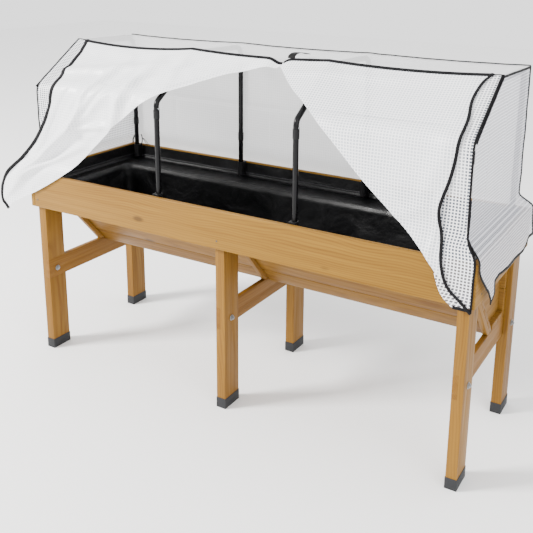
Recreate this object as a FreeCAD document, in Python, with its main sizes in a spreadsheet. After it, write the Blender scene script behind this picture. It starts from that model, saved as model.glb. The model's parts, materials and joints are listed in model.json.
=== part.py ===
import FreeCAD, Part
import math
import os
import Sketcher

# Raised wooden trough on six legs with a hooped cloth cold-frame cover.
# Millimetres. X runs along the trough, Y to the back, Z up from the floor.

os.makedirs("parts", exist_ok=True)
doc = FreeCAD.newDocument("cold_frame")
sheet = doc.addObject("Spreadsheet::Sheet", "Sheet")

VALUES = {
    # legs and feet
    "leg_wide": 36.0,
    "leg_deep": 85.0,
    "leg_out": 850.0,
    "leg_mid": 242.5,
    "leg_below_rim": 64.0,
    "notch_fit": 0.2,
    "cap_high": 39.0,
    "cap_wall": 1.5,
    "cap_floor": 3.0,
    # braces and rafters
    "brace_low": 306.0,
    "brace_high": 80.0,
    "brace_thick": 18.0,
    "rafter_foot": 8.0,
    "rafter_thick": 24.0,
    "slope_in_leg": 23.4,
    # planks
    "board": 18.0,
    "plank_gap": 1.5,
    "plank_drop": 14.0,
    "plank_last_share": 0.7,
    "plank_notch_fit": 0.5,
    "floor_gap": 2.3,
    "panel_fit": 0.5,
    # top boards
    "rim": 748.0,
    "rim_high": 138.0,
    # liner
    "liner_thick": 2.5,
    "liner_gap": 0.8,
    "liner_under_rim": 3.0,
    # hoops
    "tube": 9.5,
    "tube_wall": 1.2,
    "tube_fit": 0.05,
    "hoop_inset": 19.0,
    "hoop_from_face": 23.0,
    "foot_below_rim": 45.0,
    "hoop_upright": 330.0,
    "split_drop": 18.0,
    "split_gap": 0.2,
    "hoop_rise": 149.0,
    "hoop_crest_at": -43.0,
    "back_fall": 7.0,
    "bend_radius": 30.0,
    # sockets, sleeves and snap buttons
    "socket_floor": 5.0,
    "socket_high": 54.0,
    "socket_wall": 3.0,
    "plate_wide": 28.0,
    "sleeve_above_rim": 96.0,
    "sleeve_high": 30.0,
    "sleeve_wall": 1.6,
    "sleeve_under_split": 8.0,
    "button": 3.5,
    "button_high": 2.2,
    "button_drop": 4.0,
    "snug": 0.02,
    # cover
    "cloth": 2.5,
    "cloth_clear": 3.5,
    "end_clear": 4.5,
    "cloth_gather": 57.0,
    "seam_gap": 0.5,
    "rim_clear": 2.0,
    "rim_turn": 6.0,
    "skirt_flare": 55.0,
    "skirt_hang": 148.0,
    "back_hang": 108.0,
    "strip_wide": 53.0,
    "strip_gap": 0.4,
    "strip_lift": 4.0,
    "flap_off": 6.0,
    "flap_thick": 3.5,
    "flap_hang": 164.0,
    "flap_reach": 165.0,
    "strap_at": 137.0,
    "strap_wide": 28.0,
    "strap_long": 107.0,
    "strap_thick": 1.5,
    "strap_gap": 0.3,
    # fixings
    "bolt": 4.0,
    "bolt_fit": 0.2,
    "bolt_head": 9.0,
    "bolt_head_high": 5.0,
    "bolt_up": 34.0,
    "nut": 9.0,
    "nut_high": 9.0,
    "head_gap": 0.1,
    "screw_head": 3.5,
    "screw_high": 1.0,
    "screw_below_rim": 108.0,
    # how far a cutting tool runs past what it cuts
    "over": 10.0,
}

# sizes that follow from the ones above
FOLLOWS = {
    "leg_top": "<rim> - <leg_below_rim>",
    "leg_face": "<leg_mid> + <leg_deep> / 2",
    "leg_in": "<leg_mid> - <leg_deep> / 2",
    "leg_side": "<leg_out> + <leg_wide> / 2",
    "brace_top": "<brace_low> + <brace_high>",
    "bolt_at": "<brace_low> + <bolt_up>",
    # the underside of the sloping planks crosses the brace's top here, and leans this much
    "slope_at": "<rafter_foot> + <rafter_thick>",
    "slope_run": "(<slope_at> + <leg_in> + <slope_in_leg>) / (<leg_top> - <brace_top>)",
    "slope_sec": "sqrt(1 + <slope_run> * <slope_run>)",
    "plank_low_y": "<slope_at> + <plank_drop> * <slope_run> + <board> / <slope_sec>",
    "plank_low_z": "<brace_top> - <plank_drop> + <board> * <slope_run> / <slope_sec>",
    "plank_pitch": "(<leg_top> - <plank_low_z>) * <slope_sec> / (4 + <plank_last_share>)",
    "back_wall": "<leg_in> - <board>",
    "back_pitch": "(<leg_top> - <brace_top>) / 3",
    "floor_wide": "<back_wall> - <slope_at> - <board> * <slope_sec> - <floor_gap>",
    "inside_long": "<leg_out> - <brace_thick>",
    "rim_low": "<rim> - <rim_high>",
    "rim_out": "<leg_face> + <board>",
    "ledge": "<leg_top> + <liner_gap>",
    "hoop_out": "<leg_out> - <hoop_inset>",
    "hoop_in": "<hoop_out> / 3",
    "hoop_mid": "<leg_face> - <hoop_from_face>",
    "hoop_foot": "<rim> - <foot_below_rim>",
    "hoop_bend": "<rim> + <hoop_upright>",
    "hoop_split": "<hoop_bend> - <split_drop>",
    "hoop_crest": "<hoop_bend> + <hoop_rise>",
    "hoop_back_top": "<hoop_crest> - <back_fall>",
    "socket_low": "<hoop_foot> - <socket_floor>",
    "sleeve_low": "<rim> + <sleeve_above_rim>",
    "cloth_off": "<tube> + <cloth_clear>",
    "cloth_end": "<hoop_out> + <tube> + <end_clear>",
    "cloth_drop": "<rim> + <cloth_gather>",
    "cloth_edge": "<hoop_mid> + <cloth_off>",
    "crest_y": "<hoop_crest_at> - <end_clear>",
    "front_rise": "(<hoop_crest> - <hoop_bend>) / (<hoop_crest_at> + <hoop_mid>)",
    "front_sec": "sqrt(1 + <front_rise> * <front_rise>)",
    "top_fall": "<back_fall> / (<hoop_mid> - <hoop_crest_at>)",
    "skirt_out": "<cloth_end> + <skirt_flare>",
    "skirt_low": "<rim> - <skirt_hang>",
    "strip_from": "<cloth_end> - <strip_wide>",
    "flap_low": "<rim> - <flap_hang>",
    "flap_tip": "<cloth_end> + <flap_reach>",
    "flap_high": "<hoop_crest> - <flap_low>",
    "screw_at": "<rim> - <screw_below_rim>",
}

for row, (word, number) in enumerate(VALUES.items(), start=1):
    sheet.set("A%d" % row, word)
    sheet.set("B%d" % row, str(number))
    sheet.setAlias("B%d" % row, word)
doc.recompute()

PARTS = []


def keep(piece, label):
    piece.Label = label
    PARTS.append(piece)
    return piece


def ex(text):
    """Writes the words of a formula out as the sheet's cells."""
    while any("<" + word + ">" in text for word in FOLLOWS):
        for word, formula in FOLLOWS.items():
            text = text.replace("<" + word + ">", "(" + formula + ")")
    for word in VALUES:
        text = text.replace("<" + word + ">", "Sheet." + word)
    return text


def work(text):
    """The number a formula gives now."""
    asked = doc.addObject("Part::Vertex", "asked")
    asked.setExpression("X", ex(text))
    doc.recompute([asked])
    answer = float(asked.X)
    doc.removeObject(asked.Name)
    return answer


def place(piece, x="0", y="0", z="0"):
    piece.setExpression("Placement.Base.x", ex(x))
    piece.setExpression("Placement.Base.y", ex(y))
    piece.setExpression("Placement.Base.z", ex(z))
    return piece


def box(name, size, at):
    made = doc.addObject("Part::Box", name)
    made.setExpression("Length", ex(size[0]))
    made.setExpression("Width", ex(size[1]))
    made.setExpression("Height", ex(size[2]))
    return place(made, *at)


def rod(name, radius, length, at, along="Z"):
    made = doc.addObject("Part::Cylinder", name)
    made.setExpression("Radius", ex(radius))
    made.setExpression("Height", ex(length))
    if along == "X":
        made.Placement.Rotation = FreeCAD.Rotation(FreeCAD.Vector(0, 1, 0), 90)
    if along == "Y":
        made.Placement.Rotation = FreeCAD.Rotation(FreeCAD.Vector(1, 0, 0), -90)
    return place(made, *at)


def fuse(name, pieces):
    made = doc.addObject("Part::MultiFuse", name)
    made.Shapes = pieces
    return made


def cut(name, base, tools):
    made = doc.addObject("Part::Cut", name)
    made.Base = base
    made.Tool = tools[0] if len(tools) == 1 else fuse(name + "_tools", tools)
    return made


def group(name, pieces):
    made = doc.addObject("Part::Compound", name)
    made.Links = pieces
    return made


def origin_plane(body, role):
    for feature in body.Origin.OriginFeatures:
        if feature.Role == role:
            return feature
    raise RuntimeError("no plane " + role)


def outline(body, name, role, points, lift="0"):
    """A closed outline on one of the body's own planes, each corner held by formulas."""
    sketch = body.newObject("Sketcher::SketchObject", name)
    sketch.AttachmentSupport = [(origin_plane(body, role), "")]
    sketch.MapMode = "FlatFace"
    sketch.setExpression("AttachmentOffset.Base.z", ex(lift))
    spots = [FreeCAD.Vector(work(a), work(b), 0) for a, b in points]
    count = len(spots)
    for index in range(count):
        sketch.addGeometry(Part.LineSegment(spots[index], spots[(index + 1) % count]), False)
    for index in range(count):
        sketch.addConstraint(Sketcher.Constraint("Coincident", index, 2, (index + 1) % count, 1))
    for index, (across, up) in enumerate(points):
        for kind, text, spot in (("DistanceX", across, spots[index].x), ("DistanceY", up, spots[index].y)):
            held = sketch.addConstraint(Sketcher.Constraint(kind, -1, 1, index, 1, spot))
            sketch.setExpression("Constraints[%d]" % held, ex(text))
    return sketch


def pad(body, name, role, points, length, lift="0", both=False):
    sketch = outline(body, name + "_outline", role, points, lift)
    made = body.newObject("PartDesign::Pad", name)
    made.Profile = sketch
    made.setExpression("Length", ex(length))
    made.Midplane = both
    body.Tip = made
    return made


def pocket(body, name, role, points, length, lift="0", both=False, back=False):
    sketch = outline(body, name + "_outline", role, points, lift)
    made = body.newObject("PartDesign::Pocket", name)
    made.Profile = sketch
    made.setExpression("Length", ex(length))
    made.Midplane = both
    made.Reversed = back
    body.Tip = made
    return made


def new_body(name):
    return doc.addObject("PartDesign::Body", name)


def oblong(half_x, half_y):
    """The corners of a rectangle about the origin."""
    return [
        ("-(" + half_x + ")", "-(" + half_y + ")"),
        (half_x, "-(" + half_y + ")"),
        (half_x, half_y),
        ("-(" + half_x + ")", half_y),
    ]


SIDES = (("left", "-<leg_out>"), ("centre", "0"), ("right", "<leg_out>"))
ROWS = (("front", "-<leg_mid>"), ("back", "<leg_mid>"))
# the braces sit in the half of each leg that faces the middle; the centre one in its left half
BRACE_AT = {
    "left": "-<leg_out>",
    "centre": "-<brace_thick>",
    "right": "<leg_out> - <brace_thick>",
}


# ---------------------------------------------------------------- legs and feet
def leg_blank(end, side, x):
    """A leg before its notch; the front ones are sawn off to the planks' slope at the back."""
    blank = new_body("leg_blank_%s_%s" % (end, side))
    if end == "back":
        corners = [
            ("<leg_in>", "<cap_floor>"),
            ("<leg_face>", "<cap_floor>"),
            ("<leg_face>", "<leg_top>"),
            ("<leg_in>", "<leg_top>"),
        ]
    else:
        corners = [
            ("-<leg_face>", "<cap_floor>"),
            ("-<leg_in>", "<cap_floor>"),
            ("-<leg_in>", "<brace_top> + (<slope_at> + <leg_in>) / <slope_run>"),
            ("<slope_at> - (<leg_top> - <brace_top>) * <slope_run>", "<leg_top>"),
            ("-<leg_face>", "<leg_top>"),
        ]
    pad(blank, "timber", "YZ_Plane", corners, "<leg_wide>", x + " - <leg_wide> / 2")
    return blank


def make_leg(end, y, side, x):
    notch = box(
        "notch",
        ("<brace_thick> + <notch_fit> * 2", "<leg_deep> + <over> * 2", "<brace_high> + <notch_fit> * 2"),
        (BRACE_AT[side] + " - <notch_fit>", y + " - <leg_deep> / 2 - <over>", "<brace_low> - <notch_fit>"),
    )
    hole = rod(
        "hole",
        "<bolt> + <bolt_fit>",
        "<leg_wide> + <over> * 2",
        (x + " - <leg_wide> / 2 - <over>", y, "<bolt_at>"),
        "X",
    )
    return cut("leg", leg_blank(end, side, x), [notch, hole])


def make_foot_cap(x, y):
    cap = new_body("foot_cap")
    shell = oblong("<leg_wide> / 2 + <cap_wall>", "<leg_deep> / 2 + <cap_wall>")
    pad(cap, "shell", "XY_Plane", shell, "<cap_high>")
    seat = oblong("<leg_wide> / 2", "<leg_deep> / 2")
    pocket(cap, "seat", "XY_Plane", seat, "<cap_high>", "<cap_floor>", back=True)
    return place(cap, x, y, "0")


for side, x in SIDES:
    for end, y in ROWS:
        keep(make_leg(end, y, side, x), "leg_%s_%s" % (end, side))
        keep(make_foot_cap(x, y), "foot_cap_%s_%s" % (end, side))


# ---------------------------------------------------------------- braces and rafters
def make_brace(side):
    bar_size = ("<brace_thick>", "<leg_face> * 2", "<brace_high>")
    bar = box("bar", bar_size, (BRACE_AT[side], "-<leg_face>", "<brace_low>"))
    holes = []
    for end, y in ROWS:
        spot = (BRACE_AT[side] + " - <over>", y, "<bolt_at>")
        holes.append(rod("hole", "<bolt> + <bolt_fit>", "<brace_thick> + <over> * 2", spot, "X"))
    return cut("brace", bar, holes)


def make_rafter(side):
    rafter = new_body("rafter")
    corners = [
        ("<rafter_foot>", "<brace_top>"),
        ("<slope_at>", "<brace_top>"),
        ("-<leg_in>", "<brace_top> + (<slope_at> + <leg_in>) / <slope_run>"),
        ("-<leg_in>", "<brace_top> + (<rafter_foot> + <leg_in>) / <slope_run>"),
    ]
    pad(rafter, "batten", "YZ_Plane", corners, "<brace_thick>", BRACE_AT[side])
    return rafter


for side, x in SIDES:
    keep(make_brace(side), "brace_" + side)
    keep(make_rafter(side), "rafter_" + side)


# ---------------------------------------------------------------- sloping front planks
def make_slope_plank(number):
    """Five planks share the slope, the top one narrower; the lowest straddles the braces."""
    plank = doc.addObject("Part::Box", "plank")
    share = "<plank_last_share> * " if number == 4 else ""
    plank.setExpression("Length", ex("<leg_out> * 2"))
    plank.setExpression("Width", ex(share + "<plank_pitch> - <plank_gap>"))
    plank.setExpression("Height", ex("<board>"))
    lean = math.degrees(math.atan2(1.0, -work("<slope_run>")))
    plank.Placement.Rotation = FreeCAD.Rotation(FreeCAD.Vector(1, 0, 0), lean)
    climb = "%d * <plank_pitch> / <slope_sec>" % number
    place(plank, "-<leg_out>", "<plank_low_y> - " + climb + " * <slope_run>", "<plank_low_z> + " + climb)
    if number > 0:
        return plank
    gaps = []
    for side, x in SIDES:
        wide = "<brace_thick> + <plank_notch_fit> * 2"
        deep = "<board> * 2 + <plank_low_y> - <slope_at>"
        spot = (BRACE_AT[side] + " - <plank_notch_fit>", "<rafter_foot>", "<brace_low> + <plank_notch_fit>")
        gaps.append(box("gap", (wide, deep, "<brace_high>"), spot))
    return cut("slope_plank", plank, gaps)


for number in range(5):
    keep(make_slope_plank(number), "slope_plank_%d" % (number + 1))


# ---------------------------------------------------------------- back, floor and end planks
def make_back_plank(number):
    size = ("<leg_out> * 2", "<board>", "<back_pitch> - <plank_gap>")
    foot = "<brace_top> + %d * <back_pitch>" % number
    return box("back_plank", size, ("-<leg_out>", "<back_wall>", foot))


def make_floor_board(number):
    size = ("<leg_out> * 2", "<floor_wide> / 2 - <plank_gap>", "<board>")
    spot = ("-<leg_out>", "<back_wall> - <floor_wide> + %d * <floor_wide> / 2" % number, "<brace_top>")
    return box("floor_board", size, spot)


def make_end_panel(x):
    """Fills the trough's end between the sloping planks and the back wall."""
    panel = new_body("end_panel")
    low = "<brace_top> + <board> + <panel_fit>"
    slant = "<slope_at> + <board> * <slope_sec> + <panel_fit> * <slope_sec>"
    corners = [
        (slant + " - (<board> + <panel_fit>) * <slope_run>", low),
        ("<back_wall> - <panel_fit>", low),
        ("<back_wall> - <panel_fit>", "<leg_top>"),
        (slant + " - (<leg_top> - <brace_top>) * <slope_run>", "<leg_top>"),
    ]
    pad(panel, "panel", "YZ_Plane", corners, "<board>", x)
    return panel


for number in range(3):
    keep(make_back_plank(number), "back_plank_%d" % (number + 1))
keep(make_floor_board(0), "floor_board_front")
keep(make_floor_board(1), "floor_board_back")
keep(make_end_panel("-<inside_long>"), "end_panel_left")
keep(make_end_panel("<inside_long> - <board>"), "end_panel_right")

# ---------------------------------------------------------------- boards round the rim
long_board = ("2 * <leg_side>", "<board>", "<rim_high>")
end_board = ("<board>", "2 * <rim_out>", "<rim_high>")
keep(box("board", long_board, ("-<leg_side>", "-<rim_out>", "<rim_low>")), "rim_board_front")
keep(box("board", long_board, ("-<leg_side>", "<leg_face>", "<rim_low>")), "rim_board_back")
keep(box("board", end_board, ("-<leg_side> - <board>", "-<rim_out>", "<rim_low>")), "rim_board_left")
keep(box("board", end_board, ("<leg_side>", "-<rim_out>", "<rim_low>")), "rim_board_right")


# ---------------------------------------------------------------- liner bag
def bag(skin):
    """The bag's section across the trough, skin deep inside its outer face."""
    front = "<slope_at> + (<board> + <liner_gap> + " + skin + ") * <slope_sec>"
    low = "(<brace_top> + <board> + <liner_gap> + " + skin + ")"
    high = "(<ledge> + <liner_thick>)"
    back = "<back_wall> - <liner_gap> - " + skin
    return [
        (front + " - (" + low + " - <brace_top>) * <slope_run>", low),
        (back, low),
        (back, high),
        (front + " - (" + high + " - <brace_top>) * <slope_run>", high),
    ]


def make_liner():
    """A bag in the V of the trough, a ledge over the legs' tops and a collar up to the rim."""
    liner = new_body("liner")
    bag_half = "(<inside_long> - <board> - <liner_gap>)"
    collar_high = "<rim> - <liner_under_rim> - <ledge>"
    outside = oblong("<leg_side> - <liner_gap>", "<leg_face> - <liner_gap>")
    inside = oblong("<leg_side> - <liner_gap> - <liner_thick>", "<leg_face> - <liner_gap> - <liner_thick>")
    pad(liner, "bag", "YZ_Plane", bag("0"), "2 * " + bag_half, both=True)
    pad(liner, "collar", "XY_Plane", outside, collar_high, "<ledge>")
    pocket(liner, "collar_inside", "XY_Plane", inside, collar_high, "<ledge> + <liner_thick>", back=True)
    pocket(
        liner,
        "bag_inside",
        "YZ_Plane",
        bag("<liner_thick>"),
        "2 * (" + bag_half + " - <liner_thick>)",
        both=True,
    )
    return liner


keep(make_liner(), "liner")

# ---------------------------------------------------------------- hoops
HOOPS = (("1", "-<hoop_out>"), ("2", "-<hoop_in>"), ("3", "<hoop_in>"), ("4", "<hoop_out>"))


def rounded(points, radius):
    """A wire through the points with each inner corner rounded to the radius."""
    edges = []
    start = points[0]
    for before, corner, after in zip(points, points[1:], points[2:]):
        one = (before - corner).normalize()
        two = (after - corner).normalize()
        half = one.getAngle(two) / 2.0
        back = radius / math.tan(half)
        first = corner + one * back
        last = corner + two * back
        middle = corner + (one + two).normalize() * (radius / math.sin(half) - radius)
        edges.append(Part.LineSegment(start, first).toShape())
        edges.append(Part.Arc(first, middle, last).toShape())
        start = last
    edges.append(Part.LineSegment(start, points[-1]).toShape())
    return Part.Wire(edges)


def make_front_tube(x):
    length = "<hoop_split> - <hoop_foot>"
    outer = rod("outer", "<tube>", length, (x, "-<hoop_mid>", "<hoop_foot>"))
    bore_foot = (x, "-<hoop_mid>", "<hoop_foot> - <over>")
    inner = rod("inner", "<tube> - <tube_wall>", length + " + <over> * 2", bore_foot)
    return cut("front_tube", outer, [inner])


def make_arch(x):
    """The rest of the hoop: over the top in two bends and down the back."""
    mid = work("<hoop_mid>")
    path = rounded(
        [
            FreeCAD.Vector(0, -mid, work("<hoop_split> + <split_gap>")),
            FreeCAD.Vector(0, -mid, work("<hoop_bend>")),
            FreeCAD.Vector(0, work("<hoop_crest_at>"), work("<hoop_crest>")),
            FreeCAD.Vector(0, mid, work("<hoop_back_top>")),
            FreeCAD.Vector(0, mid, work("<hoop_foot>")),
        ],
        work("<bend_radius>"),
    )
    skins = []
    for radius in (work("<tube>"), work("<tube> - <tube_wall>")):
        mouth = Part.Circle(path.Vertexes[0].Point, FreeCAD.Vector(0, 0, 1), radius)
        skins.append(path.makePipeShell([Part.Wire(mouth.toShape())], True, False))
    arch = doc.addObject("Part::Feature", "arch")
    arch.Shape = skins[0].cut(skins[1])
    return place(arch, x)


def make_socket(x, end):
    """A cup on a plate against the liner; the tube stands on the cup's floor."""
    inner_face = "(<leg_face> - <liner_gap> - <liner_thick>)"
    at = "-<hoop_mid>" if end == "front" else "<hoop_mid>"
    plate_from = "-" + inner_face if end == "front" else at
    cup = rod("cup", "<tube> + <tube_fit> + <socket_wall>", "<socket_high>", (x, at, "<socket_low>"))
    plate = box(
        "plate",
        ("<plate_wide>", inner_face + " - <hoop_mid>", "<socket_high>"),
        (x + " - <plate_wide> / 2", plate_from, "<socket_low>"),
    )
    bore = rod("bore", "<tube> + <tube_fit>", "<socket_high>", (x, at, "<hoop_foot>"))
    return cut("socket", fuse("holder", [cup, plate]), [bore])


def make_sleeve(x, at, low):
    wide = rod("wide", "<tube> + <sleeve_wall>", "<sleeve_high>", (x, at, low))
    hollow = rod("hollow", "<tube> + <snug>", "<sleeve_high> + <over> * 2", (x, at, low + " - <over>"))
    return cut("sleeve", wide, [hollow])


def make_button(x):
    spot = (x + " + <tube> + <snug>", "-<hoop_mid>", "<hoop_split> - <button_drop>")
    return rod("button", "<button>", "<button_high>", spot, "X")


sleeves = []
for number, x in HOOPS:
    keep(make_front_tube(x), "hoop_front_tube_" + number)
    keep(make_arch(x), "hoop_arch_" + number)
    sleeves.append(make_sleeve(x, "<hoop_mid>", "<sleeve_low>"))
    sleeves.append(make_sleeve(x, "-<hoop_mid>", "<hoop_split> - <sleeve_high> - <sleeve_under_split>"))
for end, y in ROWS:
    keep(group("sockets", [make_socket(x, end) for number, x in HOOPS]), "hoop_sockets_" + end)
keep(group("sleeves", sleeves), "hoop_sleeves")
keep(group("buttons", [make_button(x) for number, x in HOOPS]), "hoop_buttons")


# ---------------------------------------------------------------- cover
def front_at(off, y):
    """Height of the sloping front cloth, off outside the hoop's centre line."""
    return "(<hoop_bend> + (" + off + ") * <front_sec> + (" + y + " + <hoop_mid>) * <front_rise>)"


def top_at(off, y):
    """Height of the top cloth, off above the hoop's centre line."""
    return "(<hoop_crest> + " + off + " - (" + y + " - <hoop_crest_at>) * <top_fall>)"


def front_band(off, thick, low, clear):
    """The front cloth's section: slope, upright, step out over the rim board, hem."""
    far = "(" + off + " + " + thick + ")"
    y_in = "(-<hoop_mid> - " + off + ")"
    y_out = "(-<hoop_mid> - " + far + ")"
    hem_in = "(-<rim_out> - " + clear + ")"
    hem_out = "(-<rim_out> - " + clear + " - " + thick + ")"
    return [
        ("<crest_y>", front_at(off, "<crest_y>")),
        ("<crest_y>", front_at(far, "<crest_y>")),
        (y_out, front_at(far, y_out)),
        (y_out, "<cloth_drop>"),
        (hem_out, "<rim> + <rim_turn>"),
        (hem_out, low),
        (hem_in, low),
        (hem_in, "<rim> + <rim_turn>"),
        (y_in, "<cloth_drop>"),
        (y_in, front_at(off, y_in)),
    ]


def make_cover_end(way, lift):
    """The end panel, and the skirt that flares from it over the end board."""
    end = new_body("cover_end")
    panel = [
        ("-<cloth_edge>", "<cloth_drop> - <cloth>"),
        ("<cloth_edge>", "<cloth_drop> - <cloth>"),
        ("<cloth_edge>", top_at("<cloth_off>", "<cloth_edge>") + " - <seam_gap>"),
        ("<crest_y>", top_at("<cloth_off>", "<crest_y>") + " - <seam_gap>"),
        ("-<cloth_edge>", front_at("<cloth_off>", "-<cloth_edge>")),
    ]
    pad(end, "panel", "YZ_Plane", panel, "<cloth>", lift)
    over_board = "<leg_side> + <board> + <rim_clear>"
    flare = [
        (way + "<cloth_end>", "<cloth_drop>"),
        (way + "(<cloth_end> + <cloth>)", "<cloth_drop>"),
        (way + "(" + over_board + " + <cloth>)", "<rim> + <rim_turn>"),
        (way + "(<skirt_out> + <cloth>)", "<skirt_low>"),
        (way + "<skirt_out>", "<skirt_low>"),
        (way + "(" + over_board + ")", "<rim> + <rim_turn>"),
    ]
    pad(end, "skirt", "XZ_Plane", flare, "2 * <cloth_edge>", both=True)
    return end


def make_cover_strip(lift):
    """The narrow front strip beside the end panel, behind the drawn-back flap."""
    strip = new_body("cover_strip")
    low = "<flap_low> + <strip_lift>"
    section = front_band("<cloth_off>", "<cloth>", low, "<rim_clear>")
    pad(strip, "strip", "YZ_Plane", section, "<strip_wide> - <strip_gap>", lift)
    return strip


def make_cover_back():
    back = new_body("cover_back")
    inner = "(<cloth_edge> + <seam_gap>)"
    hem = "(<rim_out> + <rim_clear>)"
    high = top_at("<cloth_off>", inner) + " - <seam_gap>"
    section = [
        (inner, high),
        (inner, "<cloth_drop>"),
        (hem, "<rim> + <rim_turn>"),
        (hem, "<rim> - <back_hang>"),
        (hem + " + <cloth>", "<rim> - <back_hang>"),
        (hem + " + <cloth>", "<rim> + <rim_turn>"),
        (inner + " + <cloth>", "<cloth_drop>"),
        (inner + " + <cloth>", high),
    ]
    pad(back, "panel", "YZ_Plane", section, "2 * (<cloth_end> - <strip_gap>)", both=True)
    return back


def laid_on_top(name, near, far, low, thick, wide):
    """A flat piece on the top of the hoops, from y near to y far."""
    piece = new_body(name)
    section = [
        (near, top_at(low, near)),
        (far, top_at(low, far)),
        (far, top_at(low + " + " + thick, far)),
        (near, top_at(low + " + " + thick, near)),
    ]
    pad(piece, "cloth", "YZ_Plane", section, wide, both=True)
    return piece


keep(make_cover_end("-", "-<cloth_end> - <cloth>"), "cover_end_left")
keep(make_cover_end("", "<cloth_end>"), "cover_end_right")
keep(make_cover_strip("-<cloth_end> + <strip_gap>"), "cover_strip_left")
keep(make_cover_strip("<strip_from>"), "cover_strip_right")
keep(make_cover_back(), "cover_back")
near = "(<crest_y> + <seam_gap>)"
top_far = "(<cloth_edge> + <cloth> + <seam_gap>)"
keep(laid_on_top("top", near, top_far, "<cloth_off>", "<cloth>", "2 * (<cloth_end> + <cloth>)"), "cover_top")
strap_low = "<cloth_off> + <cloth> + <strap_gap>"
strap_far = "(" + near + " + <strap_long>)"
strap = laid_on_top("strap", near, strap_far, strap_low, "<strap_thick>", "<strap_wide>")
place(strap, "<strap_at>")
keep(strap, "cover_strap")


# ---------------------------------------------------------------- flaps, drawn back to the ends
def part_way(along, up):
    """A spot on the front cloth: a share of the half length, and of the height from hem to crest."""
    return ("%s * <hoop_out>" % along, "<flap_low> + %s * <flap_high>" % up)


HIGH = "<hoop_crest> + <over> * 4"
# the slanting folded edge from the middle of the ridge, then the free edge back up near the end
FLAP_EDGES = {
    "right": [
        ("<strap_wide> * 4", HIGH),
        part_way(0.133, 0.985),
        part_way(0.335, 0.821),
        part_way(0.608, 0.513),
        part_way(0.846, 0.222),
        part_way(0.949, 0.067),
        ("<cloth_end>", "<flap_low>"),
        ("<cloth_end> - <over>", "<flap_low> + <over> * 2"),
        ("<strip_from> + <over>", "<flap_low> + <over> * 7"),
        ("<strip_from> + <strip_lift>", HIGH),
    ],
    "left": [
        ("<strap_wide> * 3", HIGH),
        part_way(0.1, 0.985),
        part_way(-0.029, 0.961),
        part_way(-0.16, 0.907),
        part_way(-0.278, 0.84),
        part_way(-0.36, 0.79),
        part_way(-0.56, 0.604),
        part_way(-0.768, 0.358),
        part_way(-0.858, 0.266),
        part_way(-1.076, 0.121),
        ("-<flap_tip> + <over> * 2", "<flap_low> + <over> * 2"),
        ("-<flap_tip>", "<flap_low> + <over> * 6"),
        ("-<flap_tip> + <over> / 2", "<flap_low> + <over> * 11"),
        ("-<flap_tip> + <over> * 6", "<rim> + <rim_turn> * 3"),
        ("-<cloth_end> - <over>", "<cloth_drop> + <cloth_gather>"),
        part_way(-0.98, 0.585),
        ("-<strip_from> - <strip_lift>", "<hoop_bend> + <over> * 2"),
        ("-<strip_from> - <strip_lift>", HIGH),
    ],
}


def make_flap(edge_points):
    """The front cloth's band kept inside the flap's outline."""
    band = new_body("flap_band")
    section = front_band("(<cloth_off> + <flap_off>)", "<flap_thick>", "<flap_low>", "<flap_off>")
    pad(band, "band", "YZ_Plane", section, "<cloth_end> + <flap_tip>", "-<flap_tip>")
    shape = new_body("flap_shape")
    pad(shape, "outline", "XZ_Plane", edge_points, "4 * <rim_out>", both=True)
    flap = doc.addObject("Part::Common", "flap")
    flap.Base = band
    flap.Tool = shape
    return flap


for side, edge_points in FLAP_EDGES.items():
    keep(make_flap(edge_points), "flap_" + side)


# ---------------------------------------------------------------- bolts and screws
def make_bolt(x, y):
    """A head on the left of the leg, a shank through leg and brace, a nut on the right."""
    left = x + " - <leg_wide> / 2 - <head_gap>"
    right = x + " + <leg_wide> / 2 + <head_gap>"
    shank = rod("shank", "<bolt>", "<leg_wide> + <head_gap> * 2", (left, y, "<bolt_at>"), "X")
    head_at = (left + " - <bolt_head_high>", y, "<bolt_at>")
    head = rod("head", "<bolt_head>", "<bolt_head_high>", head_at, "X")
    nut = rod("nut", "<nut>", "<nut_high>", (right, y, "<bolt_at>"), "X")
    return fuse("bolt", [shank, head, nut])


bolts = []
screws = []
for side, x in SIDES:
    for end, y in ROWS:
        bolts.append(make_bolt(x, y))
    for y in ("-<rim_out> - <screw_high>", "<rim_out>"):
        screws.append(rod("screw", "<screw_head>", "<screw_high>", (x, y, "<screw_at>"), "Y"))
for x in ("-<leg_side> - <board> - <screw_high>", "<leg_side> + <board>"):
    for end, y in ROWS:
        screws.append(rod("screw", "<screw_head>", "<screw_high>", (x, y, "<screw_at>"), "X"))
keep(group("bolts", bolts), "brace_bolts")
keep(group("screws", screws), "board_screws")

# ---------------------------------------------------------------- check and export
doc.recompute()
faults = []
for piece in doc.Objects:
    if "Invalid" in piece.State or "Error" in piece.State:
        faults.append("%s %s" % (piece.Name, piece.State))
for piece in PARTS:
    if piece.Shape.isNull() or not piece.Shape.isValid() or not piece.Shape.Solids:
        faults.append(piece.Label + " has no valid solid")
if faults:
    raise RuntimeError("; ".join(faults))
for piece in PARTS:
    piece.Shape.exportStep("parts/%s.step" % piece.Label)
    print("%-24s solids %2d volume %10.0f" % (piece.Label, len(piece.Shape.Solids), piece.Shape.Volume))
print(len(PARTS), "parts")
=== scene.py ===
import json
import math

import bmesh
import bpy
from mathutils import Matrix, Vector, noise


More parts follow.
